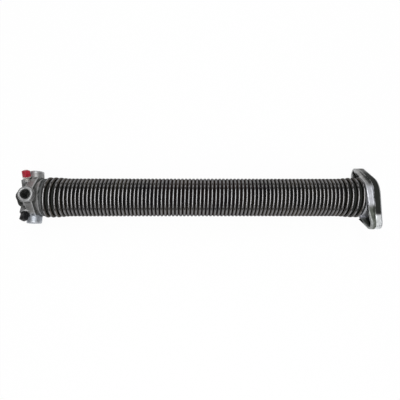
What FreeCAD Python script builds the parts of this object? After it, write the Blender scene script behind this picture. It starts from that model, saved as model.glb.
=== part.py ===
import FreeCAD, Part
import math
import os

os.makedirs("parts", exist_ok=True)

# Garage door torsion spring, millimetres, one shaft axis along X.
# The origin is on that axis, at the face that bolts to the wall bracket. The spring lies on the -X side.
# Angles round the axis are counted from +Y towards +Z.

# Coiled wire, left-hand
WIRE = 6.19
COIL_INSIDE = 50.8
COIL_GAP = 0.02
TURNS = 80.64
FIRST_TURN_X = -21.9
FIRST_TURN_ANGLE = -20.0

# How the end turns spread and open out where they are screwed on the cones
END_PITCH = 9.0
END_GROWTH = 1.8
FULL_TURNS = 1.2
EASE_TURNS = 3.8

# Threaded noses of both cones
WIRE_CLEARANCE = 0.12
GROOVE_DEPTH = 2.3
THREAD_TURNS = 4.7
TIP_RADIUS = 22.5
GROOVE_OVERRUN = 0.22
GROOVE_RUN_IN = 0.6

# Stationary cone
FLANGE_THICK = 10.5
FLANGE_ROUND = 35.0
FLANGE_EDGE = 1.2
EAR_CENTRE = 50.5
EAR_ROUND = 10.5
COLLAR_RADIUS = 31.0
COLLAR_X = -20.0
COLLAR_EDGE = 1.2
RIM_WALL = 4.2
RIM_TIP_HEIGHT = 6.5
RIM_ROOT_HEIGHT = 12.0
COIL_ROOM = 2.6
BOLT_HOLE = 10.4
STATIONARY_BORE = 33.4

# Winding cone
SHAFT_BORE = 25.8
NOSE_RADIUS = 14.8
NOSE_ROOT_RADIUS = 18.5
NOSE_BEYOND_SOCKETS = 24.5
HUB_RADIUS = 24.5
HUB_EDGE = 1.5
HUB_BEYOND_SOCKETS = 12.0
HUB_FLARE = 3.0
FOOT_RADIUS = 9.8
FOOT_REACH = 19.5
FOOT_BEYOND_SOCKETS = 14.8
FOOT_ANGLES = (90, 270)
SOCKETS = 4
SOCKET_REACH = 43.0
SOCKET_BOSS = 23.4
SOCKET_BOSS_ROOT = 26.0
SOCKET_HOLE = 15.2
SOCKET_FLOOR = 17.0
SOCKET_MOUTH = 0.8
WEB_THICK = 13.0
WEB_SETBACK = 0.5
WINDING_COLLAR = 7.0
SOCKETS_BEFORE_COLLAR = 14.0

# Square-head set screws, one backed out a little further than the other
SCREW_ANGLES = {"red": 25.5, "black": 154.5}
SCREW_HEAD_RADIUS = {"red": 34.8, "black": 32.0}
SCREW_BEYOND_SOCKETS = 9.8
SCREW_SHANK = 9.5
SCREW_LENGTH = 18.5
SCREW_POINT = 1.8
SCREW_FIT = 0.1
HEAD_ACROSS = 9.6
HEAD_TURN = {"red": -32.0, "black": 32.0}
HEAD_ROOM = 0.6
HEAD_HEIGHT = 11.5
HEAD_CORNER_RADIUS = 6.62
HEAD_CROWN_HEIGHT = 1.8
HEAD_CROWN_INSET = 2.7
LUG_RADIUS = 9.0
LUG_REACH = 30.5
BOSS_START = 17.5

# Sizes that follow from the ones above
COIL_RADIUS = (COIL_INSIDE + WIRE) / 2
BODY_PITCH = WIRE + COIL_GAP
CREST_RADIUS = COIL_RADIUS + END_GROWTH - WIRE / 2 + GROOVE_DEPTH
END_COIL_OUTSIDE_RADIUS = COIL_RADIUS + END_GROWTH + WIRE / 2
EAR_LEAN = math.asin((FLANGE_ROUND - EAR_ROUND) / EAR_CENTRE)
EAR_ANGLE = 180 - math.degrees(EAR_LEAN)
AXIS = FreeCAD.Vector(1, 0, 0)
ORIGIN = FreeCAD.Vector(0, 0, 0)
SPLINE_STEPS = 8


def ease(q):
    """Rises smoothly from 0 to 1 as q goes from 0 to 1."""
    q = min(max(q, 0.0), 1.0)
    return q * q * (3 - 2 * q)


def ease_slope(q):
    """How fast ease rises at q."""
    if q <= 0 or q >= 1:
        return 0.0
    return 6 * q * (1 - q)


def eased_area(q):
    """The area under 1 - ease, from 0 to q."""
    if q <= 0:
        return q
    q = min(q, 1.0)
    return q - q ** 3 + q ** 4 / 2


def spread(turns):
    """How much of the end turns' spread is there, so many turns in from an end."""
    return 1 - ease((turns - FULL_TURNS) / EASE_TURNS)


def extra_travel(turns):
    """Length that the spread adds over so many turns, counted in from an end."""
    area = eased_area((turns - FULL_TURNS) / EASE_TURNS) - eased_area(-FULL_TURNS / EASE_TURNS)
    return (END_PITCH - BODY_PITCH) * EASE_TURNS * area


def coil_x(turn):
    """Place along the axis of the wire's centre, at a turn counted from the stationary end."""
    ends = extra_travel(turn) + extra_travel(TURNS) - extra_travel(TURNS - turn)
    return FIRST_TURN_X - BODY_PITCH * turn - ends


def coil_radius(turn):
    """Distance of the wire's centre from the axis."""
    return COIL_RADIUS + END_GROWTH * (spread(turn) + spread(TURNS - turn))


def coil_point(turn):
    """The wire's centre at a turn."""
    angle = math.radians(FIRST_TURN_ANGLE) + 2 * math.pi * turn
    radius = coil_radius(turn)
    return FreeCAD.Vector(coil_x(turn), radius * math.cos(angle), radius * math.sin(angle))


def coil_slope(turn):
    """How the wire's centre moves per turn, as a vector."""
    angle = math.radians(FIRST_TURN_ANGLE) + 2 * math.pi * turn
    near = (turn - FULL_TURNS) / EASE_TURNS
    far = (TURNS - turn - FULL_TURNS) / EASE_TURNS
    along = -BODY_PITCH - (END_PITCH - BODY_PITCH) * (spread(turn) + spread(TURNS - turn))
    outward = END_GROWTH * (ease_slope(far) - ease_slope(near)) / EASE_TURNS
    around = 2 * math.pi * coil_radius(turn)
    return FreeCAD.Vector(
        along,
        outward * math.cos(angle) - around * math.sin(angle),
        outward * math.sin(angle) + around * math.cos(angle),
    )


def coil_edge(start, end):
    """One smooth stretch of the wire's centre line."""
    steps = max(2, math.ceil((end - start) * SPLINE_STEPS))
    turns = [start + (end - start) * k / steps for k in range(steps + 1)]
    curve = Part.BSplineCurve()
    curve.interpolate(
        Points=[coil_point(t) for t in turns],
        Tangents=[coil_slope(t) for t in turns],
        TangentFlags=[True] * len(turns),
        Parameters=turns,
        Scale=False,
    )
    return curve.toShape()


def coil(start, end, thickness):
    """A round bar swept along the coil from one turn to another."""
    pieces = math.ceil(end - start)
    cuts = [start + (end - start) * k / pieces for k in range(pieces + 1)]
    path = Part.Wire([coil_edge(a, b) for a, b in zip(cuts, cuts[1:])])
    section = Part.Circle(coil_point(start), coil_slope(start), thickness / 2)
    sweep = Part.BRepOffsetAPI.MakePipeShell(path)
    sweep.setBiNormalMode(AXIS)
    sweep.add(Part.Wire(section.toShape()))
    sweep.build()
    sweep.makeSolid()
    return sweep.shape()


def turned(profile):
    """A solid turned round the shaft axis from (x, radius) points."""
    points = [FreeCAD.Vector(x, 0, r) for x, r in profile]
    face = Part.Face(Part.makePolygon(points + points[:1]))
    return face.revolve(ORIGIN, AXIS, 360)


def rod(radius, x_from, x_to):
    """A cylinder on the shaft axis."""
    return Part.makeCylinder(radius, x_to - x_from, FreeCAD.Vector(x_from, 0, 0), AXIS)


def radial(angle):
    """Unit vector away from the axis at an angle."""
    a = math.radians(angle)
    return FreeCAD.Vector(0, math.cos(a), math.sin(a))


def spoke(radius, root_radius, x, angle, start, end):
    """A round boss that stands out from the axis, between two distances from it."""
    way = radial(angle)
    base = FreeCAD.Vector(x, 0, 0) + way * start
    if radius == root_radius:
        return Part.makeCylinder(radius, end - start, base, way)
    return Part.makeCone(root_radius, radius, end - start, base, way)


def thread_core(collar_x, tip_x, full_x):
    """The plain body of a cone's nose: a cylinder as far as full_x, then tapered to the tip."""
    return turned(
        [
            (collar_x, 0),
            (collar_x, CREST_RADIUS),
            (full_x, CREST_RADIUS),
            (tip_x, TIP_RADIUS),
            (tip_x, 0),
        ]
    )


def groove(start, end):
    """What is cut away for the wire, between two turns."""
    return coil(start, end, WIRE + 2 * WIRE_CLEARANCE)


def flange_outline(middle, ear):
    """The two-eared outline round a middle disc and two ear discs, in the plane x = 0."""
    lean = math.asin((middle - ear) / EAR_CENTRE)

    def at(distance, radius, angle):
        return FreeCAD.Vector(0, distance + radius * math.cos(angle), radius * math.sin(angle))

    up = math.pi / 2 - lean
    edges = []
    for side in (1, -1):
        ear_top = at(EAR_CENTRE, ear, up)
        ear_low = at(EAR_CENTRE, ear, -up)
        mid_top = at(0, middle, up)
        mid_low = at(0, middle, -up)
        tip = at(EAR_CENTRE + ear, 0, 0)
        ear_edges = [
            Part.LineSegment(mid_top, ear_top).toShape(),
            Part.Arc(ear_top, tip, ear_low).toShape(),
            Part.LineSegment(ear_low, mid_low).toShape(),
        ]
        if side < 0:
            ear_edges = [e.rotate(ORIGIN, AXIS, 180) for e in ear_edges]
        edges += ear_edges
    for half in (1, -1):
        start = at(0, middle, half * up)
        end = at(0, middle, half * (math.pi - up))
        edges.append(Part.Arc(start, at(0, middle, half * math.pi / 2), end).toShape())
    return Part.Wire(Part.__sortEdges__(edges))


def flange_slab(middle, ear, x_from, x_to):
    """The outline as a plate between two places along the axis."""
    face = Part.Face(flange_outline(middle, ear))
    slab = face.extrude(FreeCAD.Vector(x_to - x_from, 0, 0))
    slab.translate(FreeCAD.Vector(x_from, 0, 0))
    return slab


def ear_rims():
    """The wall along both ears' edges, highest where it runs beside the coil and lower at the tips."""
    plate = -FLANGE_THICK / 2
    back = -FLANGE_THICK - RIM_ROOT_HEIGHT
    wall = flange_slab(COLLAR_RADIUS, EAR_ROUND, back, plate)
    wall = wall.cut(flange_slab(COLLAR_RADIUS - RIM_WALL, EAR_ROUND - RIM_WALL, back - 1, plate))
    tip = EAR_CENTRE + EAR_ROUND + 1
    slope = [
        FreeCAD.Vector(0, -tip, 0),
        FreeCAD.Vector(-FLANGE_THICK - RIM_TIP_HEIGHT, -tip, 0),
        FreeCAD.Vector(back, -COLLAR_RADIUS, 0),
        FreeCAD.Vector(back, COLLAR_RADIUS, 0),
        FreeCAD.Vector(-FLANGE_THICK - RIM_TIP_HEIGHT, tip, 0),
        FreeCAD.Vector(0, tip, 0),
    ]
    face = Part.Face(Part.makePolygon(slope + slope[:1]))
    face.translate(FreeCAD.Vector(0, 0, -FLANGE_ROUND))
    room = rod(END_COIL_OUTSIDE_RADIUS + COIL_ROOM, back - 1, COLLAR_X)
    return wall.common(face.extrude(FreeCAD.Vector(0, 0, 2 * FLANGE_ROUND))).cut(room)


def stationary_cone():
    """The casting that bolts to the wall bracket and holds the fixed end of the wire."""
    plate = flange_slab(FLANGE_ROUND, EAR_ROUND, -FLANGE_THICK, 0)
    outer = [e for e in plate.Edges if abs(e.BoundBox.XMax) < 0.01 and e.BoundBox.XLength < 0.01]
    plate = plate.makeFillet(FLANGE_EDGE, outer)
    ears = plate.fuse(ear_rims())
    for side in (1, -1):
        hole = Part.makeCylinder(
            BOLT_HOLE / 2,
            FLANGE_THICK + 2,
            FreeCAD.Vector(-FLANGE_THICK - 1, side * EAR_CENTRE, 0),
            AXIS,
        )
        ears = ears.cut(hole)
    ears.rotate(ORIGIN, AXIS, EAR_ANGLE)
    collar = turned(
        [
            (COLLAR_X, 0),
            (COLLAR_X, COLLAR_RADIUS - COLLAR_EDGE),
            (COLLAR_X + COLLAR_EDGE, COLLAR_RADIUS),
            (-FLANGE_THICK / 2, COLLAR_RADIUS),
            (-FLANGE_THICK / 2, 0),
        ]
    )
    tip_x = coil_x(THREAD_TURNS)
    core = thread_core(COLLAR_X, tip_x, coil_x(FULL_TURNS + 1))
    body = ears.fuse(collar).fuse(core).cut(groove(-GROOVE_OVERRUN, THREAD_TURNS + GROOVE_RUN_IN))
    bore = rod(STATIONARY_BORE / 2, tip_x - 1, 1)
    return body.cut(bore)


def winding_collar_x():
    """Where the winding cone's collar stops, a little under the last of the wire."""
    return coil_x(TURNS) - WIRE / 2 + WINDING_COLLAR / 2


def socket_x():
    """Place along the axis of the winding-bar sockets."""
    return winding_collar_x() - WINDING_COLLAR - SOCKETS_BEFORE_COLLAR


def screw_x():
    """Place along the axis of the set screws."""
    return socket_x() - SCREW_BEYOND_SOCKETS


def hub():
    """The end of the winding cone: a drum with four sockets, webs between them and screw lugs."""
    centre = socket_x()
    nose = centre - NOSE_BEYOND_SOCKETS
    hub_end = centre - HUB_BEYOND_SOCKETS
    collar_back = winding_collar_x()
    body = turned(
        [
            (nose, 0),
            (nose, NOSE_RADIUS),
            (hub_end, NOSE_ROOT_RADIUS),
            (hub_end, HUB_RADIUS - HUB_EDGE),
            (hub_end + HUB_EDGE, HUB_RADIUS),
            (centre + HUB_FLARE, HUB_RADIUS),
            (collar_back - WINDING_COLLAR, COLLAR_RADIUS),
            (collar_back - COLLAR_EDGE, COLLAR_RADIUS),
            (collar_back, COLLAR_RADIUS - COLLAR_EDGE),
            (collar_back, 0),
        ]
    )
    for k in range(SOCKETS):
        angle = 90 + 360 * k / SOCKETS
        boss = spoke(SOCKET_BOSS / 2, SOCKET_BOSS_ROOT / 2, centre, angle, BOSS_START, SOCKET_REACH)
        body = body.fuse(boss)
    foot_x = centre - FOOT_BEYOND_SOCKETS
    for angle in FOOT_ANGLES:
        body = body.fuse(spoke(FOOT_RADIUS, FOOT_RADIUS, foot_x, angle, 0, FOOT_REACH))
    for angle in SCREW_ANGLES.values():
        body = body.fuse(spoke(LUG_RADIUS, LUG_RADIUS, screw_x(), angle, BOSS_START, LUG_REACH))
    corners = [radial(360 * k / SOCKETS) * (SOCKET_REACH - WEB_SETBACK) for k in range(SOCKETS)]
    face = Part.Face(Part.makePolygon(corners + corners[:1]))
    face.translate(FreeCAD.Vector(centre - WEB_THICK / 2, 0, 0))
    return body.fuse(face.extrude(FreeCAD.Vector(WEB_THICK, 0, 0)))


def winding_cone():
    """The casting that is wound up with bars and then locked to the shaft."""
    tip_x = coil_x(TURNS - THREAD_TURNS)
    core = thread_core(winding_collar_x() - COLLAR_EDGE, tip_x, coil_x(TURNS - FULL_TURNS - 1))
    body = hub().fuse(core)
    body = body.cut(groove(TURNS - THREAD_TURNS - GROOVE_RUN_IN, TURNS + GROOVE_OVERRUN))
    centre = socket_x()
    cuts = [rod(SHAFT_BORE / 2, centre - NOSE_BEYOND_SOCKETS - 1, tip_x + 1)]
    for k in range(SOCKETS):
        angle = 90 + 360 * k / SOCKETS
        hole = SOCKET_HOLE / 2
        cuts.append(spoke(hole, hole, centre, angle, SOCKET_FLOOR, SOCKET_REACH + 1))
        mouth = spoke(
            hole + SOCKET_MOUTH, hole, centre, angle, SOCKET_REACH - SOCKET_MOUTH, SOCKET_REACH
        )
        cuts.append(mouth)
    for angle in SCREW_ANGLES.values():
        hole = SCREW_SHANK / 2 + SCREW_FIT
        room = HEAD_CORNER_RADIUS + HEAD_ROOM
        cuts.append(spoke(hole, hole, screw_x(), angle, 0, LUG_REACH + 1))
        cuts.append(spoke(room, room, screw_x(), angle, LUG_REACH, SOCKET_REACH + HEAD_HEIGHT))
    return body.cut(cuts)


def set_screw(angle, head_radius, head_turn):
    """A square-head set screw whose head starts at a distance from the axis."""
    shank = SCREW_SHANK / 2
    tip = head_radius - SCREW_LENGTH
    way = radial(angle)
    at = FreeCAD.Vector(screw_x(), 0, 0)
    point = Part.makeCone(shank - SCREW_POINT, shank, SCREW_POINT, at + way * tip, way)
    body_start = at + way * (tip + SCREW_POINT)
    body = Part.makeCylinder(shank, SCREW_LENGTH - SCREW_POINT + 1, body_start, way)
    head = Part.makeBox(HEAD_ACROSS, HEAD_ACROSS, HEAD_HEIGHT)
    head.translate(FreeCAD.Vector(-HEAD_ACROSS / 2, -HEAD_ACROSS / 2, 0))
    side_height = HEAD_HEIGHT - HEAD_CROWN_HEIGHT
    crown = Part.makeCone(
        HEAD_CORNER_RADIUS,
        HEAD_CORNER_RADIUS - HEAD_CROWN_INSET,
        HEAD_CROWN_HEIGHT,
        FreeCAD.Vector(0, 0, side_height),
    )
    below = Part.makeCylinder(HEAD_CORNER_RADIUS, side_height)
    head = head.common(below.fuse(crown))
    head.rotate(ORIGIN, FreeCAD.Vector(0, 0, 1), head_turn)
    head.Placement = FreeCAD.Placement(
        at + way * head_radius,
        FreeCAD.Rotation(FreeCAD.Vector(0, 0, 1), way),
    ).multiply(head.Placement)
    return head.fuse([body, point]).removeSplitter()


def save(name, shape):
    """Writes one solid to parts, and stops if it is not a valid solid."""
    if shape.ShapeType == "Compound" and len(shape.Solids) == 1:
        shape = shape.Solids[0]
    if not shape.isValid() or len(shape.Solids) != 1:
        raise ValueError(f"{name} is not one valid solid")
    shape.exportStep(f"parts/{name}.step")
    box = shape.BoundBox
    print(name, round(shape.Volume), [round(v, 2) for v in (box.XMin, box.XMax)])


save("spring", coil(0, TURNS, WIRE))
save("stationary_cone", stationary_cone())
save("winding_cone", winding_cone())
for colour, angle in SCREW_ANGLES.items():
    save(f"set_screw_{colour}", set_screw(angle, SCREW_HEAD_RADIUS[colour], HEAD_TURN[colour]))
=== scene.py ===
"""Garage door torsion spring: the coil, both castings, the set screws and the studio round them."""

import math

import bmesh
import bpy
import numpy as np
from bpy.props import FloatProperty, FloatVectorProperty, IntProperty, PointerProperty
from mathutils import Matrix, Vector


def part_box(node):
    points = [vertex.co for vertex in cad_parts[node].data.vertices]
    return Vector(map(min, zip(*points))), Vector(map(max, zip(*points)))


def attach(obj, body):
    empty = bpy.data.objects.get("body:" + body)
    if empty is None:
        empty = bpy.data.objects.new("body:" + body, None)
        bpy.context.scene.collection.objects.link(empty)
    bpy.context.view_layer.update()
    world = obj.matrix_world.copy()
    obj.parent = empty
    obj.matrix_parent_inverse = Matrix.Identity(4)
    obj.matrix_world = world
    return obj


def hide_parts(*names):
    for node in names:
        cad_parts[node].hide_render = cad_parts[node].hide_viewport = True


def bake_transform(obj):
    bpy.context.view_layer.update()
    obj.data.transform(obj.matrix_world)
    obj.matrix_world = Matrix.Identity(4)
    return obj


bl_info = {
    "name": "Torsion spring",
    "version": (1, 0, 0),
    "blender": (4, 5, 0),
    "location": "3D View > Sidebar > Torsion spring",
    "description": "Builds a garage door torsion spring with its two cones, set screws and studio",
    "category": "Add Mesh",
}

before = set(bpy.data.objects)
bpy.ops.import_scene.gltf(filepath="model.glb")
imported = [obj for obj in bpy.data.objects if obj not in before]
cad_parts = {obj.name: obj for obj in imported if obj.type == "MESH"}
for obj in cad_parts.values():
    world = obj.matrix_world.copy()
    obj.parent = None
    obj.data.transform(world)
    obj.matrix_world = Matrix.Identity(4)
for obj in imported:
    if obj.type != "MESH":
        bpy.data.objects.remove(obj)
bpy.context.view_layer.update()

MM = 0.001
WINDING_LOW, WINDING_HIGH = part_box("winding_cone")
STATIONARY_LOW, STATIONARY_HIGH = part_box("stationary_cone")
STATIONARY_END = "stationary_end"
WINDING_END = "winding_end"
AXIS = np.array([1.0, 0.0, 0.0])

# Tones of the wire, besides those in its settings
BROWN_SCALE = (0.085, 0.075, 0.064)
DRAWN_STREAK = (0.2, 0.195, 0.19)
OIL_SPECK = (0.03, 0.025, 0.02)

# The lighter line painted along the wire's outer side, a painted sheen where the crest highlight falls, in
# parts of the way round: the square of its half width, and its waver
CREST_WIDTH = 0.0085
CREST_WAVER = 0.0015

# Tones of the castings, besides the aluminium in their settings
SMEARED_SKIN = (0.58, 0.58, 0.59)
PIT = (0.16, 0.16, 0.155)
# Painted highlights on the wall behind the flange, the face that bolts on and the near ear's tip
WALL_HIGHLIGHT = (0.78, 0.8, 0.86)
TIP_HIGHLIGHT = (0.9, 0.93, 0.94)
# Painted shade on the rib
RIB_SHADE = (0.12, 0.14, 0.11)
# A painted reflection on the near boss
BOSS_REFLECTION = (0.43, 0.47, 0.53)
# Painted shade on the mouth of the upper socket
MOUTH_SHADE = (0.17, 0.17, 0.155)
# All the painted shade: in the creases, under the wire, on the flange's rim, the far ear, and the winding
# cone's nose and collar
SHADE_BLACK = (0.01, 0.012, 0.01)
# A painted highlight along the edges
EDGE_SHEEN = (0.78, 0.79, 0.82)



def step_from(place, start, end):
    """The start and end of a soft step, at two distances in millimetres from a place."""
    return place + start * MM, place + end * MM


# Where the skin of the castings changes along the axis: from the winding cone's nose on,
# between both cones, and back from the face that bolts on
NOSE_STEP = step_from(WINDING_LOW[0], 6.2, 14.2)
# The winding cone's collar on the spring's side, where shade is painted
COLLAR_SHADE_STEP = step_from(WINDING_LOW[0], 37.7, 40.7)
WINDING_SEAT_STEP = step_from(WINDING_LOW[0], 45.6, 46.6)
MIDDLE_STEP = (WINDING_HIGH[0], STATIONARY_LOW[0])
STATIONARY_SEAT_STEP = step_from(STATIONARY_HIGH[0], -21, -20)
FLANGE_STEP = step_from(STATIONARY_HIGH[0], -11, -10)
FACE_STEP = step_from(STATIONARY_HIGH[0], -2.4, -1.4)
# Along the line through both ears, from the shaft's axis: below 0 it runs to the far ear
EAR_ANGLE = math.radians(151)
FAR_EAR_STEP = step_from(0.0, -46, -34)
WALL_STEP = step_from(0.0, -8, 4)
WALL_END_STEP = step_from(0.0, 27, 34)
RIB_STEP = step_from(0.0, 30, 38)
RIM_END_STEP = step_from(0.0, 43, 46)
TIP_STEP = step_from(0.0, 44, 47)
# Across, from the end of the near boss, and up, from the mouth of the upper socket
NEAR_BOSS_STEP = step_from(WINDING_LOW[1], 12, 17)
MOUTH_STEP = step_from(WINDING_HIGH[2], -1, -0.5)
# How far the patches of the skin make a step along the axis ragged
RAGGED_BY = 4 * MM

# The wave in the cast skin: how fast its coarse and its fine part run along each axis, and where they start
WAVE_SIZE = 4 * MM
COARSE_RATE = np.array([1.7, 2.1, 1.9], dtype=np.float32)
COARSE_START = np.array([0.6, 1.9, 0.3], dtype=np.float32)
FINE_RATE = np.array([4.3, 3.7, 4.9], dtype=np.float32)
FINE_START = np.array([2.2, 0.4, 1.1], dtype=np.float32)

# Points of a solid's mesh that are nearer than this are one point
MERGE_WITHIN = 0.01 * MM

# The rings of a set screw's head from the shank up: height as a part of the head's,
# how many chamfers its corners are cut back, and how far its sides are drawn in
HEAD_RISE = np.array([0.0, 0.0, 0.15, 0.5, 0.92, 1.0])
HEAD_CUT = np.array([0.0, 0.0, 0.0, 0.0, 0.0, 1.6])
HEAD_INSET = np.array([0.5, 0.0, 0.0, 0.0, 0.0, 0.45]) * MM
# How far out the head's corners are, as a part of its width, and how much of its height is painted
HEAD_CORNER = 0.69
PAINTED_PART = 0.8
ZINC = (0.86, 0.84, 0.78)
BLACK_OXIDE = (0.02, 0.02, 0.02)

# The lamps: place from the point that they look at, and width and length
KEY_PLACE = (0.0, -0.13, 1.3)
KEY_SIZE = (0.65, 3.05)
FAR_FILL_PLACE = (0.0, 1.1, 0.5)
NEAR_FILL_PLACE = (0.0, -1.1, 0.5)
FILL_SIZE = (1.2, 0.3)

# The floor: half its length, and how much of it glows white to the camera, so that shadows stay faint
FLOOR_REACH = 4.0
FLOOR_GLOW = 0.96


class CoilSettings(bpy.types.PropertyGroup):
    """Sizes and colours of the coiled wire."""

    wire: FloatProperty(
        name="Wire", description="Diameter of the wire", default=6.19 * MM, unit="LENGTH", precision=5
    )
    inside: FloatProperty(
        name="Inside", description="Inside diameter of the coil", default=50.8 * MM, unit="LENGTH"
    )
    turns: FloatProperty(name="Turns", description="Turns of wire from end to end", default=80.64)
    first_angle: FloatProperty(
        name="First angle",
        description="Where the wire starts at the stationary cone, from +Y towards +Z",
        default=math.radians(-20),
        subtype="ANGLE",
    )
    gap: FloatProperty(
        name="Gap",
        description="Gap between turns of the body",
        default=0.02 * MM,
        unit="LENGTH",
        precision=5,
    )
    end_pitch: FloatProperty(
        name="End pitch", description="Pitch of the turns on the cones", default=9.0 * MM, unit="LENGTH"
    )
    end_growth: FloatProperty(
        name="End growth",
        description="How far the turns on the cones open out, on the radius",
        default=1.8 * MM,
        unit="LENGTH",
    )
    full_turns: FloatProperty(
        name="Full turns", description="Turns at each end that are spread all the way", default=1.2
    )
    ease_turns: FloatProperty(
        name="Ease turns", description="Turns over which the opening out dies away", default=3.8
    )
    first_turn: FloatProperty(
        name="First turn",
        description="Where the wire starts along the axis",
        default=-21.9 * MM,
        unit="LENGTH",
        precision=5,
    )
    near_ease: FloatProperty(
        name="Near ease",
        description="Turns over which the pitch settles at the stationary end",
        default=4.4,
    )
    far_ease: FloatProperty(
        name="Far ease", description="Turns over which the pitch settles at the winding end", default=3.2
    )
    steps_per_turn: IntProperty(
        name="Steps per turn", description="Rings of the mesh in a turn", default=54
    )
    sides: IntProperty(name="Sides", description="Points round the wire", default=16)
    cut_edge: FloatProperty(
        name="Cut edge", description="Chamfer at the cut ends of the wire", default=0.5 * MM, unit="LENGTH"
    )
    scale_colour: FloatVectorProperty(
        name="Scale", description="Colour of the dark scale", default=(0.06, 0.057, 0.056), subtype="COLOR"
    )
    # The lighter line along the wire's outer side is a painted sheen where the crest highlight falls
    crest_sheen_colour: FloatVectorProperty(
        name="Sheen",
        description="Colour of the rubbed line",
        default=(0.222, 0.22, 0.224),
        subtype="COLOR",
    )


class CastingSettings(bpy.types.PropertyGroup):
    """The skin of both castings."""

    grain: FloatProperty(
        name="Grain",
        description="Size of the cells that the skin is made of",
        default=0.85 * MM,
        unit="LENGTH",
    )
    soften: IntProperty(name="Soften", description="Passes that round off the edges", default=4)
    waviness: FloatProperty(
        name="Waviness",
        description="How far the cast skin swells and sinks",
        default=0.12 * MM,
        unit="LENGTH",
        precision=5,
    )
    relief_passes: IntProperty(
        name="Relief passes", description="How wide a stretch counts towards the relief", default=16
    )
    relief_depth: FloatProperty(
        name="Relief depth",
        description="Depth of a crease that is marked in full",
        default=0.45 * MM,
        unit="LENGTH",
        precision=5,
    )
    colour: FloatVectorProperty(
        name="Aluminium", description="Colour of the cast skin", default=(0.4, 0.4, 0.395), subtype="COLOR"
    )


class ScrewSettings(bpy.types.PropertyGroup):
    """Sizes and paints of the square-head set screws."""

    head_across: FloatProperty(
        name="Head across", description="Across the flats of the head", default=9.6 * MM, unit="LENGTH"
    )
    head_height: FloatProperty(
        name="Head height", description="Height of the head", default=13.2 * MM, unit="LENGTH"
    )
    head_chamfer: FloatProperty(
        name="Head chamfer", description="Bevel round the top of the head", default=1.6 * MM, unit="LENGTH"
    )
    head_turn: FloatProperty(
        name="Head turn",
        description="How far the head is turned",
        default=math.radians(32),
        subtype="ANGLE",
    )
    squareness: FloatProperty(
        name="Squareness", description="Higher makes the head's corners sharper", default=12.0
    )
    shank: FloatProperty(
        name="Shank", description="Diameter over the thread", default=9.5 * MM, unit="LENGTH"
    )
    thread_pitch: FloatProperty(
        name="Thread pitch", description="Distance between threads", default=1.5875 * MM, unit="LENGTH"
    )
    thread_depth: FloatProperty(
        name="Thread depth", description="Depth of the thread", default=0.85 * MM, unit="LENGTH"
    )
    point: FloatProperty(
        name="Point", description="Length of the tapered point", default=1.8 * MM, unit="LENGTH"
    )
    columns: IntProperty(name="Columns", description="Points round the screw", default=64)
    rows_per_thread: IntProperty(name="Rows per thread", description="Rings in a thread", default=8)
    red_paint: FloatVectorProperty(
        name="Red paint", description="Colour of one head", default=(0.44, 0.02, 0.04), subtype="COLOR"
    )
    black_paint: FloatVectorProperty(
        name="Black paint",
        description="Colour of the other head",
        default=(0.006, 0.006, 0.007),
        subtype="COLOR",
    )


class StageSettings(bpy.types.PropertyGroup):
    """Camera, floor and lamps."""

    distance: FloatProperty(
        name="Distance",
        description="From the camera to the middle of the spring",
        default=0.647,
        unit="LENGTH",
    )
    elevation: FloatProperty(
        name="Elevation",
        description="Camera's height above level",
        default=math.radians(82.7),
        subtype="ANGLE",
    )
    yaw: FloatProperty(
        name="Yaw", description="How much nearer the winding end is", default=0.0191, subtype="ANGLE"
    )
    above: FloatProperty(
        name="Above",
        description="How far the picture's middle is below the axis",
        default=0.0042,
        unit="LENGTH",
    )
    middle: FloatProperty(
        name="Middle", description="Where along the axis the camera looks", default=-0.2883, unit="LENGTH"
    )
    focal: FloatProperty(name="Focal", description="Focal length in image widths", default=387.5 / 400)
    key_power: FloatProperty(name="Key power", description="Watts of the overhead softbox", default=27.5)
    fill_power: FloatProperty(name="Fill power", description="Watts of each side lamp", default=1.5)
    sky: FloatProperty(name="Sky", description="Strength of the world", default=0.06)
    floor: FloatVectorProperty(
        name="Floor", description="Colour of the floor", default=(0.93, 0.93, 0.93), subtype="COLOR"
    )


def ease(q):
    """Three times q squared less twice q cubed, with q held between 0 and 1."""
    q = np.clip(q, 0.0, 1.0)
    return q * q * (3 - 2 * q)


def eased_area(q):
    """The area under 1 - ease from 0 to q.

    It is q before 0, then q less q cubed plus half of q to the fourth, and one half from 1 on.
    """
    held = np.clip(q, 0.0, 1.0)
    return np.where(q <= 0, q, held - held**3 + held**4 / 2)


def unit(vectors):
    """Each row divided by its length."""
    return vectors / np.linalg.norm(vectors, axis=-1, keepdims=True)


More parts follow.
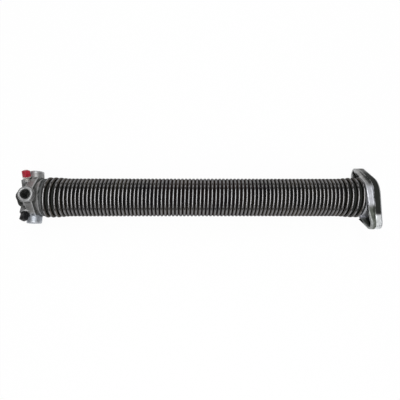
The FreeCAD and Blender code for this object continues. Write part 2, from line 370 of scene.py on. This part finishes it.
def skin(name, points, uv):
    """A mesh object from a grid of points, rows by columns, that closes round its columns.

    Each cell of the grid is one face. Each end is closed by one face over its whole ring.
    The faces are turned over if the enclosed volume comes out negative.
    """
    rows, columns = points.shape[:2]
    row, column = np.meshgrid(np.arange(rows - 1), np.arange(columns), indexing="ij")
    after = (column + 1) % columns
    quads = np.stack(
        [
            row * columns + column,
            row * columns + after,
            (row + 1) * columns + after,
            (row + 1) * columns + column,
        ],
        axis=-1,
    ).reshape(-1, 4)
    corner_rows = np.stack([row, row, row + 1, row + 1], axis=-1).reshape(-1, 4)
    corner_columns = np.stack([column, column + 1, column + 1, column], axis=-1).reshape(-1, 4)
    flat = points.reshape(-1, 3)
    a, b, c, d = (flat[quads[:, k]] for k in range(4))
    volume = np.einsum("ij,ij->", a, np.cross(b, c)) + np.einsum("ij,ij->", a, np.cross(c, d))
    if volume < 0:
        quads = quads[:, ::-1]
        corner_rows = corner_rows[:, ::-1]
        corner_columns = corner_columns[:, ::-1]
    faces = quads.tolist()
    corner_uv = uv(corner_rows, corner_columns).reshape(-1, 2)
    first = list(range(columns))
    last = list(range((rows - 1) * columns, rows * columns))
    faces.append(first[::-1] if volume > 0 else first)
    faces.append(last if volume > 0 else last[::-1])
    corner_uv = np.concatenate([corner_uv, np.zeros((2 * columns, 2))])
    mesh = bpy.data.meshes.new(name)
    mesh.from_pydata(flat.tolist(), [], faces)
    layer = mesh.uv_layers.new(name="surface")
    layer.data.foreach_set("uv", corner_uv.astype(np.float32).ravel())
    mesh.polygons.foreach_set("use_smooth", np.ones(len(faces), dtype=bool))
    mesh.update()
    return placed(name, mesh)


def placed(name, mesh):
    """A new object at the origin that shows the mesh."""
    piece = bpy.data.objects.new(name, mesh)
    bpy.context.scene.collection.objects.link(piece)
    return piece


def dressed(piece, finish):
    """The piece with one material on all its faces."""
    piece.data.materials.clear()
    piece.data.materials.append(finish)
    return piece


class Value:
    """A socket of a node tree that can stand in sums: each operator adds one Math node."""

    def __init__(self, maker, socket):
        self.maker = maker
        self.socket = socket

    def math(self, operation, first, second, clamp=False):
        """One Math node."""
        settings = {"operation": operation, "use_clamp": clamp}
        return self.maker.node("ShaderNodeMath", settings, {0: first, 1: second})

    def __add__(self, other):
        return self.math("ADD", self, other)

    def __radd__(self, other):
        return self.math("ADD", other, self)

    def __sub__(self, other):
        return self.math("SUBTRACT", self, other)

    def __rsub__(self, other):
        return self.math("SUBTRACT", other, self)

    def __mul__(self, other):
        return self.math("MULTIPLY", self, other)

    def __rmul__(self, other):
        return self.math("MULTIPLY", other, self)

    def clamped(self):
        """Held between 0 and 1."""
        return self.math("ADD", self, 0.0, clamp=True)


class Finish:
    """A material under construction."""

    def __init__(self, name):
        self.material = bpy.data.materials.new(name)
        self.material.use_nodes = True
        self.tree = self.material.node_tree
        self.tree.nodes.clear()
        self.output = self.tree.nodes.new("ShaderNodeOutputMaterial")

    def node(self, kind, settings=None, sockets=None, output=0):
        """A node of a kind: its settings first, then each socket's value or link."""
        made = self.tree.nodes.new(kind)
        for key, value in (settings or {}).items():
            setattr(made, key, value)
        for key, value in (sockets or {}).items():
            self.feed(made.inputs[key], value)
        return Value(self, made.outputs[output])

    def feed(self, socket, value):
        """Links a wrapped socket, or sets a plain value."""
        if isinstance(value, Value):
            self.tree.links.new(value.socket, socket)
        else:
            socket.default_value = value

    def show(self, shader):
        """The material with a shader on its surface."""
        self.feed(self.output.inputs["Surface"], shader)
        return self.material

    def principled(self, **sockets):
        """The material with one Principled shader, whose sockets are named with underscores for spaces."""
        named = {key.replace("_", " "): value for key, value in sockets.items()}
        return self.show(self.node("ShaderNodeBsdfPrincipled", None, named))

    def place(self):
        """Object coordinates."""
        return self.node("ShaderNodeTexCoord", output="Object")

    def surface(self):
        """The piece's own UV map, as a vector."""
        return self.node("ShaderNodeUVMap", {"uv_map": "surface"})

    def stretched(self, vector, scale):
        """A vector scaled along each axis."""
        return self.node("ShaderNodeMapping", {"vector_type": "POINT"}, {0: vector, "Scale": scale})

    def parts(self, vector):
        """The x, y and z of a vector."""
        node = self.node("ShaderNodeSeparateXYZ", None, {0: vector}).socket.node
        return [Value(self, node.outputs[k]) for k in range(3)]

    def noise(self, vector, scale, detail, roughness):
        """Fractal noise about 0.5."""
        return self.node(
            "ShaderNodeTexNoise",
            {"noise_dimensions": "3D"},
            {"Vector": vector, "Scale": scale, "Detail": detail, "Roughness": roughness},
            output="Fac",
        )

    def step(self, value, low, high):
        """0 under low, 1 over high and smooth between."""
        return self.node(
            "ShaderNodeMapRange",
            {"interpolation_type": "SMOOTHSTEP"},
            {"Value": value, "From Min": low, "From Max": high},
        )

    def mix(self, factor, first, second):
        """A colour between two others. The node's colours are its sockets 6 and 7 in, and 2 out."""
        return self.node(
            "ShaderNodeMix",
            {"data_type": "RGBA", "clamp_factor": True},
            {0: factor, 6: colour(first), 7: colour(second)},
            output=2,
        )

    def bump(self, height, distance, strength):
        """A normal from a height."""
        sockets = {"Height": height, "Distance": distance, "Strength": strength}
        return self.node("ShaderNodeBump", None, sockets)


def colour(value):
    """A colour with its alpha, or a wrapped socket as it is."""
    if isinstance(value, Value):
        return value
    return (*value, 1.0)


def wire_finish(settings):
    """Oil-tempered spring wire: dark scale with drawn streaks, and a lighter line along its outer side that
    is a painted sheen.

    The line is where the wire's own v coordinate is near a half, which is straight outward from the coil.
    """
    finish = Finish("oil_tempered_wire")
    place = finish.place()
    surface = finish.surface()
    round_wire = finish.parts(surface)[1]
    long_way = finish.stretched(surface, (5.0, 40.0, 1.0))
    streaks = finish.noise(long_way, scale=1.0, detail=4.0, roughness=0.6)
    fine_way = finish.stretched(surface, (40.0, 160.0, 1.0))
    fine = finish.noise(fine_way, scale=1.0, detail=3.0, roughness=0.6)
    clouds = finish.noise(place, scale=34.0, detail=4.0, roughness=0.55)
    specks = finish.noise(place, scale=520.0, detail=2.0, roughness=0.5)
    aside = (round_wire - 0.5) * (round_wire - 0.5)
    # crest: a lighter line painted along the outer side of each turn, a painted sheen where the crest
    # highlight falls
    crest = 1 - finish.step(aside + (streaks - 0.5) * CREST_WAVER, 0.0, CREST_WIDTH)
    tone = finish.mix(finish.step(clouds, 0.36, 0.66), settings.scale_colour, BROWN_SCALE)
    tone = finish.mix(crest * (0.75 + 0.5 * clouds), tone, settings.crest_sheen_colour)
    tone = finish.mix(finish.step(streaks, 0.56, 0.8) * 0.15, tone, DRAWN_STREAK)
    tone = finish.mix(finish.step(specks, 0.66, 0.8) * 0.25, tone, OIL_SPECK)
    height = streaks * 0.6 + fine * 0.1 + specks * 0.12
    return finish.principled(
        Base_Color=tone,
        Metallic=0.9,
        Roughness=(0.2 + 0.06 * clouds + 0.04 * fine - 0.06 * crest).clamped(),
        Specular_IOR_Level=0.1,
        Specular_Tint=(0.4, 0.4, 0.4, 1.0),
        Normal=finish.bump(height, distance=0.02 * MM, strength=0.2),
    )


def aluminium_finish(settings):
    """Cast aluminium: a grained skin with dull patches and pits, a painted highlight on its edges and
    painted shade in its creases.

    Painted shade makes the skin darkest where the wire is seated, on the flange's rim between its ears, and
    on the winding cone's collar and nose. Painted highlights make it palest on the wall behind the flange
    and on the tip of the near ear.
    """
    finish = Finish("cast_aluminium")
    place = finish.place()
    along, across, height = finish.parts(place)
    ear = across * math.cos(EAR_ANGLE) + height * math.sin(EAR_ANGLE)
    clouds = finish.noise(place, scale=46.0, detail=5.0, roughness=0.6)
    grain = finish.noise(place, scale=640.0, detail=3.0, roughness=0.65)
    drawn_out = finish.stretched(place, (1.0, 0.35, 0.35))
    swirl = finish.noise(drawn_out, scale=150.0, detail=3.0, roughness=0.6)
    pits = finish.node(
        "ShaderNodeTexVoronoi", {"feature": "F1"}, {"Vector": place, "Scale": 420.0}, output="Distance"
    )
    pitted = 1 - finish.step(pits, 0.1, 0.26)
    relief = finish.node("ShaderNodeAttribute", {"attribute_name": "relief"}, output="Fac")
    # Painted shade in the creases of the relief
    crease = finish.step(relief + (clouds - 0.5) * 0.3, 0.05, 0.55)
    # A painted highlight on the edges of the relief
    edges = finish.step(0 - relief + (swirl - 0.5) * 0.4, 0.25, 0.8)

    ragged = along + (clouds - 0.5) * RAGGED_BY
    # Painted shade under the wire's seats and on the winding cone's nose
    past_seat = finish.step(ragged, *STATIONARY_SEAT_STEP)
    seated = finish.step(ragged, *WINDING_SEAT_STEP) * (1 - past_seat)
    nose = 1 - finish.step(ragged, *NOSE_STEP)
    # Painted shade on the winding cone's collar by the spring
    collar_shade = finish.step(ragged, *COLLAR_SHADE_STEP) * (1 - finish.step(ragged, *MIDDLE_STEP))
    # A painted reflection on the near boss
    near_boss = (1 - finish.step(across, *NEAR_BOSS_STEP)) * (1 - finish.step(along, *MIDDLE_STEP))
    # Painted shade on the upper socket's mouth
    mouth = finish.step(height, *MOUTH_STEP)

    flange = finish.step(ragged, *FLANGE_STEP)
    face = finish.step(along, *FACE_STEP)
    side = flange * (1 - face * 0.9)
    past_far_ear = finish.step(ear, *FAR_EAR_STEP)
    # Painted shade on the flange's rim between its ears and on the far ear's tip
    rim = side * past_far_ear * (1 - finish.step(ear, *RIM_END_STEP))
    # Painted highlight on the near ear's tip
    near_tip = side * finish.step(ear, *TIP_STEP)
    far_tip = flange * (1 - face) * (1 - past_far_ear)
    back = past_seat * (1 - flange)
    # Painted highlight on the wall behind the flange
    wall = back * finish.step(ear, *WALL_STEP) * (1 - finish.step(ear, *WALL_END_STEP))
    # Painted shade on the rib
    rib = back * finish.step(ear, *RIB_STEP)

    # The painted edge highlight, held back where shade is painted
    sheen = edges * (1 - seated) * (1 - nose) * (1 - rim) * (1 - collar_shade * 0.7)
    # hollow and dark: the painted shade, in the creases and at the masked places
    hollow = crease * 0.85 * (1 - wall * 0.8)
    dark = (seated + rim + nose * 0.93 + collar_shade + far_tip * 0.6 + hollow).clamped()
    base = tuple(settings.colour)
    dull = tuple(c * 0.62 for c in base)
    tone = finish.mix(finish.step(clouds, 0.35, 0.68), base, dull)
    tone = finish.mix(finish.step(swirl, 0.55, 0.75) * 0.3, tone, SMEARED_SKIN)
    tone = finish.mix(pitted * 0.4, tone, PIT)
    tone = finish.mix((wall + face * 0.6).clamped() * 0.8, tone, WALL_HIGHLIGHT)
    tone = finish.mix(near_tip * 0.9, tone, TIP_HIGHLIGHT)
    tone = finish.mix(rib * 0.8, tone, RIB_SHADE)
    tone = finish.mix(near_boss * 0.7, tone, BOSS_REFLECTION)
    tone = finish.mix(mouth * 0.6, tone, MOUTH_SHADE)
    tone = finish.mix(dark * 0.97, tone, SHADE_BLACK)
    tone = finish.mix(sheen * 0.3, tone, EDGE_SHEEN)
    bumps = grain * 0.5 + swirl * 0.5 - pitted * 0.7
    return finish.principled(
        Base_Color=tone,
        Metallic=0.85 * (1 - dark),
        Roughness=(0.42 + 0.16 * clouds + 0.06 * grain + 0.1 * dark).clamped(),
        Specular_IOR_Level=0.1,
        Normal=finish.bump(bumps, distance=0.18 * MM, strength=0.8),
    )


def screw_finish(name, way, paint_from, painted, bare, roughness):
    """A set screw: paint over the head from a height along the screw, and plating below it."""
    finish = Finish(name)
    place = finish.place()
    along = finish.node(
        "ShaderNodeVectorMath", {"operation": "DOT_PRODUCT"}, {0: place, 1: tuple(way)}, output="Value"
    )
    ragged = finish.noise(place, scale=360.0, detail=3.0, roughness=0.6)
    worn = finish.noise(place, scale=900.0, detail=3.0, roughness=0.6)
    tarnish = finish.noise(place, scale=240.0, detail=3.0, roughness=0.5)
    edge = along + (ragged - 0.5) * (1.6 * MM)
    cover = finish.step(edge, paint_from - 0.2 * MM, paint_from + 0.2 * MM)
    cover = cover * (1 - 0.5 * finish.step(worn, 0.68, 0.74))
    plating = finish.mix(tarnish, bare, tuple(c * 0.6 for c in bare))
    paint = finish.mix(finish.step(ragged, 0.3, 0.75), painted, tuple(c * 0.72 for c in painted))
    return finish.principled(
        Base_Color=finish.mix(cover, plating, paint),
        Metallic=(1 - cover) * 0.5,
        Roughness=(roughness + 0.15 * (worn - 0.5) + 0.04 * cover).clamped(),
        Coat_Weight=0.15 * cover,
        Specular_IOR_Level=0.3,
        Normal=finish.bump(worn * 0.4 + ragged * 0.6, distance=0.08 * MM, strength=0.6),
    )


def coil_centre(settings, turns):
    """Centre line of the wire at each turn, and the way that it runs.

    The place along the axis falls by one pitch a turn, plus the area under the spread of each end.
    The radius is the body's radius plus the growth where the turns are spread.
    """
    pitch = settings.wire + settings.gap
    total = settings.turns

    def spread(count):
        return 1 - ease((count - settings.full_turns) / settings.ease_turns)

    def travel(count, turns_to_settle):
        start = eased_area(np.array(-settings.full_turns / turns_to_settle))
        area = eased_area((count - settings.full_turns) / turns_to_settle) - start
        return (settings.end_pitch - pitch) * turns_to_settle * area

    near = travel(turns, settings.near_ease)
    far = travel(np.array(total), settings.far_ease) - travel(total - turns, settings.far_ease)
    x = settings.first_turn - pitch * turns - near - far
    opened = spread(turns) + spread(total - turns)
    radius = (settings.inside + settings.wire) / 2 + settings.end_growth * opened
    angle = settings.first_angle + 2 * np.pi * turns
    centre = np.stack([x, radius * np.cos(angle), radius * np.sin(angle)], axis=1)
    return centre, unit(np.gradient(centre, turns, axis=0))


def make_coil(settings):
    """The wire: a circle carried along the coil, its seam on the inner side, chamfered at both cuts."""
    count = int(settings.turns * settings.steps_per_turn)
    turns = np.linspace(0.0, settings.turns, count)
    centre, way = coil_centre(settings, turns)
    outward = centre * np.array([0.0, 1.0, 1.0])
    outward = unit(outward - way * np.sum(outward * way, axis=1, keepdims=True))
    side = np.cross(way, outward)
    radius = np.full(count, settings.wire / 2)
    radius[[0, -1]] -= settings.cut_edge
    round_wire = np.linspace(0.0, 2 * np.pi, settings.sides, endpoint=False)[None, :, None]
    ring = -outward[:, None] * np.cos(round_wire) + side[:, None] * np.sin(round_wire)
    points = centre[:, None] + ring * radius[:, None, None]
    return skin(
        "coil_wire",
        points,
        lambda row, column: np.stack([turns[row], column / settings.sides], axis=-1),
    )


def wavy(points, depth):
    """How far each point is moved by a smooth wave.

    The coarse part is a sine along each axis, all three multiplied. A fine part of half its depth is added.
    """
    scaled = points / WAVE_SIZE
    coarse = np.prod(np.sin(scaled * COARSE_RATE + COARSE_START), axis=1)
    fine = np.prod(np.sin(scaled * FINE_RATE + FINE_START), axis=1)
    return depth * (coarse + 0.5 * fine)


def make_casting(node, name, settings):
    """A casting with rounded edges and an uneven skin, made from a copy of its plain solid."""
    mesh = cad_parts[node].data.copy()
    work = bmesh.new()
    work.from_mesh(mesh)
    bmesh.ops.remove_doubles(work, verts=work.verts, dist=MERGE_WITHIN)
    work.to_mesh(mesh)
    work.free()
    piece = placed(name, mesh)
    remesh = piece.modifiers.new("skin", "REMESH")
    remesh.mode = "VOXEL"
    remesh.voxel_size = settings.grain
    smooth = piece.modifiers.new("soften", "SMOOTH")
    smooth.factor = 0.5
    smooth.iterations = settings.soften
    evaluated = piece.evaluated_get(bpy.context.evaluated_depsgraph_get())
    finished = bpy.data.meshes.new_from_object(evaluated)
    piece.modifiers.clear()
    piece.data = finished
    bpy.data.meshes.remove(mesh)
    finished.name = name
    places = np.empty(len(finished.vertices) * 3, dtype=np.float32)
    normals = np.empty(len(finished.vertices) * 3, dtype=np.float32)
    finished.vertices.foreach_get("co", places)
    finished.vertex_normals.foreach_get("vector", normals)
    places = places.reshape(-1, 3)
    moved = places + normals.reshape(-1, 3) * wavy(places, settings.waviness)[:, None]
    finished.vertices.foreach_set("co", moved.astype(np.float32).ravel())
    finished.polygons.foreach_set("use_smooth", np.ones(len(finished.polygons), dtype=bool))
    finished.update()
    mark_relief(finished, settings)
    return piece


def mark_relief(mesh, settings):
    """Stores how hollow the surface is round each point, from -1 on an edge to 1 in a crease.

    Each point moves to the mean of its neighbours, pass after pass.
    How far it has moved along its normal, over the relief's depth, is the value.
    """
    count = len(mesh.vertices)
    places = np.empty(count * 3)
    normals = np.empty(count * 3)
    edges = np.empty(len(mesh.edges) * 2, dtype=np.int64)
    mesh.vertices.foreach_get("co", places)
    mesh.vertex_normals.foreach_get("vector", normals)
    mesh.edges.foreach_get("vertices", edges)
    places = places.reshape(-1, 3)
    one, other = edges.reshape(-1, 2).T
    here = np.concatenate([one, other])
    there = np.concatenate([other, one])
    valence = np.bincount(here, minlength=count)[:, None]
    smooth = places
    for _ in range(settings.relief_passes):
        sums = [np.bincount(here, weights=smooth[there, k], minlength=count) for k in range(3)]
        smooth = np.stack(sums, axis=1) / valence
    hollow = np.sum((smooth - places) * normals.reshape(-1, 3), axis=1) / settings.relief_depth
    layer = mesh.attributes.new("relief", "FLOAT", "POINT")
    layer.data.foreach_set("value", np.clip(hollow, -1.0, 1.0).astype(np.float32))


def screw_line(node):
    """A set screw's line from its solid.

    It is a point on the shaft's axis, the way out from there, and how far out the screw starts and ends.
    """
    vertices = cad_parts[node].data.vertices
    places = np.empty(len(vertices) * 3)
    vertices.foreach_get("co", places)
    places = places.reshape(-1, 3)
    middle = (places.min(axis=0) + places.max(axis=0)) / 2
    way = unit(middle * np.array([0.0, 1.0, 1.0]))
    along = places @ way
    return middle * AXIS, way, along.min(), along.max()


def make_screw(node, name, turn, settings):
    """A square-head set screw on one grid of angle by height.

    The radius is a threaded circle up to the head, and a rounded square above it.
    The square's radius is its half width over the p-norm of the sine and cosine of the angle.
    The thread is a triangle wave of the height less the angle's share of a pitch.
    """
    foot, way, low, high = screw_line(node)
    start = high - settings.head_height
    thread_rows = int((start - low) / settings.thread_pitch * settings.rows_per_thread)
    angle = np.linspace(0.0, 2 * np.pi, settings.columns, endpoint=False)
    shank = np.linspace(low, start, thread_rows)
    phase = (shank[:, None] / settings.thread_pitch - angle[None] / (2 * np.pi)) % 1.0
    wave = np.abs(2 * phase - 1)
    taper = np.clip((shank - low) / settings.point, 0.0, 1.0)
    ends = np.clip((start - shank) / settings.thread_pitch, 0.0, 1.0)
    outer = settings.shank / 2 - settings.point * (1 - taper)
    threaded = outer[:, None] - settings.thread_depth * wave * (taper * ends)[:, None]
    power = settings.squareness
    square = (np.abs(np.cos(angle - turn)) ** power + np.abs(np.sin(angle - turn)) ** power) ** (-1 / power)
    square = square * settings.head_across / 2
    corner = settings.head_across * HEAD_CORNER - HEAD_CUT * settings.head_chamfer
    head = np.minimum(square[None], corner[:, None]) - HEAD_INSET[:, None]
    heights = np.concatenate([shank, start + HEAD_RISE * settings.head_height])
    radius = np.concatenate([threaded, head])
    across = np.cross(way, AXIS)
    ring = AXIS * np.cos(angle)[:, None] + across * np.sin(angle)[:, None]
    points = foot + way * heights[:, None, None] + ring[None] * radius[:, :, None]
    rise = (heights - low) / settings.shank
    return skin(
        name,
        points,
        lambda row, column: np.stack([column / settings.columns, rise[row]], axis=-1),
    )


def softbox(name, target, offset, size, power):
    """A rectangular lamp at an offset from the point that it looks at."""
    lamp = bpy.data.lights.new(name, "AREA")
    lamp.shape = "RECTANGLE"
    lamp.size, lamp.size_y = size
    lamp.energy = power
    lit = bpy.data.objects.new(name, lamp)
    away = Vector(offset)
    place = Matrix.Translation(Vector(target) + away)
    lit.matrix_world = place @ away.to_track_quat("Z", "Y").to_matrix().to_4x4()
    bpy.context.scene.collection.objects.link(lit)


class TORSION_OT_coil(bpy.types.Operator):
    """Winds the wire onto both cones"""

    bl_idname = "torsion_spring.coil"
    bl_label = "Coil"

    def execute(self, context):
        settings = context.scene.torsion_coil
        piece = dressed(make_coil(settings), wire_finish(settings))
        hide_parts("spring")
        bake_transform(piece)
        return {"FINISHED"}


class TORSION_OT_castings(bpy.types.Operator):
    """Casts the stationary cone and the winding cone"""

    bl_idname = "torsion_spring.castings"
    bl_label = "Castings"

    def execute(self, context):
        settings = context.scene.torsion_casting
        finish = aluminium_finish(settings)
        for node, name, body in (
            ("stationary_cone", "stationary_casting", STATIONARY_END),
            ("winding_cone", "winding_casting", WINDING_END),
        ):
            piece = dressed(make_casting(node, name, settings), finish)
            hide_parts(node)
            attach(piece, body)
        return {"FINISHED"}


class TORSION_OT_screws(bpy.types.Operator):
    """Turns both set screws, one with its head painted red and one black"""

    bl_idname = "torsion_spring.screws"
    bl_label = "Set screws"

    def execute(self, context):
        settings = context.scene.torsion_screw
        red = settings.red_paint
        black = settings.black_paint
        for node, name, slot, side, painted, bare, roughness in (
            ("set_screw_red", "red_head_screw", "red_steel", -1, red, ZINC, 0.34),
            ("set_screw_black", "black_head_screw", "black_steel", 1, black, BLACK_OXIDE, 0.5),
        ):
            _, way, _, high = screw_line(node)
            paint_from = high - settings.head_height * PAINTED_PART
            piece = make_screw(node, name, side * settings.head_turn, settings)
            dressed(piece, screw_finish(name, way, paint_from, painted, bare, roughness))
            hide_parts(node)
            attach(piece, WINDING_END)
        return {"FINISHED"}


class TORSION_OT_stage(bpy.types.Operator):
    """Sets the floor, the lamps and the camera"""

    bl_idname = "torsion_spring.stage"
    bl_label = "Stage"

    def execute(self, context):
        settings = context.scene.torsion_stage
        self.floor(settings)
        self.lamps(settings)
        self.world(settings)
        self.camera(settings)
        context.scene.view_settings.view_transform = "Standard"
        return {"FINISHED"}

    def floor(self, settings):
        """A plane under the lowest socket and the straight side of the flange, so it slopes a little."""
        low_x = (WINDING_LOW[0] + WINDING_HIGH[0]) / 2
        slope = (STATIONARY_LOW[2] - WINDING_LOW[2]) / (STATIONARY_HIGH[0] - low_x)
        corners = []
        for x_side, y_side in ((-1, -1), (1, -1), (1, 1), (-1, 1)):
            x = x_side * FLOOR_REACH
            corners.append((x, y_side * FLOOR_REACH, WINDING_LOW[2] + slope * (x - low_x)))
        mesh = bpy.data.meshes.new("floor")
        mesh.from_pydata(corners, [], [(0, 1, 2, 3)])
        finish = Finish("pale_floor")
        white = finish.node("ShaderNodeEmission", None, {"Color": (1.0, 1.0, 1.0, 1.0), "Strength": 1.0})
        dull = finish.node("ShaderNodeBsdfDiffuse", None, {"Color": colour(settings.floor)})
        by_camera = finish.node("ShaderNodeLightPath", output="Is Camera Ray")
        by_mirror = finish.node("ShaderNodeLightPath", output="Is Glossy Ray")
        glow = ((by_camera + by_mirror) * FLOOR_GLOW).clamped()
        mixed = finish.node("ShaderNodeMixShader", None, {0: glow, 1: dull, 2: white})
        floor = dressed(placed("floor", mesh), finish.show(mixed))

    def lamps(self, settings):
        """A long softbox overhead and a lamp beyond each side."""
        middle = (settings.middle, 0.0, 0.0)
        softbox("key", middle, KEY_PLACE, KEY_SIZE, settings.key_power)
        softbox("far_fill", middle, FAR_FILL_PLACE, FILL_SIZE, settings.fill_power)
        softbox("near_fill", middle, NEAR_FILL_PLACE, FILL_SIZE, settings.fill_power)

    def world(self, settings):
        """An even grey sky."""
        world = bpy.data.worlds.new("studio")
        world.use_nodes = True
        shade = world.node_tree.nodes["Background"]
        shade.inputs["Color"].default_value = (1.0, 1.0, 1.0, 1.0)
        shade.inputs["Strength"].default_value = settings.sky
        bpy.context.scene.world = world

    def camera(self, settings):
        """A camera almost straight above, turned so that the winding end is a little nearer."""
        up_way = Vector((0.0, math.sin(settings.elevation), math.cos(settings.elevation)))
        out_way = Vector((0.0, -math.cos(settings.elevation), math.sin(settings.elevation)))
        along = Vector((1.0, 0.0, 0.0))
        right = along * math.cos(settings.yaw) + out_way * math.sin(settings.yaw)
        back = out_way * math.cos(settings.yaw) - along * math.sin(settings.yaw)
        place = along * settings.middle + back * settings.distance - up_way * settings.above
        lens = bpy.data.cameras.new("camera")
        lens.sensor_width = 36.0
        lens.lens = settings.focal * lens.sensor_width
        lens.clip_start = 0.01
        camera = bpy.data.objects.new("camera", lens)
        camera.matrix_world = Matrix(
            [[right[k], up_way[k], back[k], place[k]] for k in range(3)] + [[0.0, 0.0, 0.0, 1.0]]
        )
        bpy.context.scene.collection.objects.link(camera)
        bpy.context.scene.camera = camera


class TORSION_PT_panel(bpy.types.Panel):
    """Lists the steps"""

    bl_label = "Torsion spring"
    bl_idname = "TORSION_PT_panel"
    bl_space_type = "VIEW_3D"
    bl_region_type = "UI"
    bl_category = "Torsion spring"

    def draw(self, context):
        for step in STEPS:
            self.layout.operator(step.bl_idname)


STEPS = (TORSION_OT_coil, TORSION_OT_castings, TORSION_OT_screws, TORSION_OT_stage)
GROUPS = {
    "torsion_coil": CoilSettings,
    "torsion_casting": CastingSettings,
    "torsion_screw": ScrewSettings,
    "torsion_stage": StageSettings,
}


def register():
    for group in GROUPS.values():
        bpy.utils.register_class(group)
    for name, group in GROUPS.items():
        setattr(bpy.types.Scene, name, PointerProperty(type=group))
    for step in STEPS:
        bpy.utils.register_class(step)
    bpy.utils.register_class(TORSION_PT_panel)


def unregister():
    bpy.utils.unregister_class(TORSION_PT_panel)
    for step in reversed(STEPS):
        bpy.utils.unregister_class(step)
    for name, group in GROUPS.items():
        delattr(bpy.types.Scene, name)
        bpy.utils.unregister_class(group)


def main():
    register()
    bpy.ops.torsion_spring.coil()
    bpy.ops.torsion_spring.castings()
    bpy.ops.torsion_spring.screws()
    bpy.ops.torsion_spring.stage()


if __name__ == "__main__":
    main()
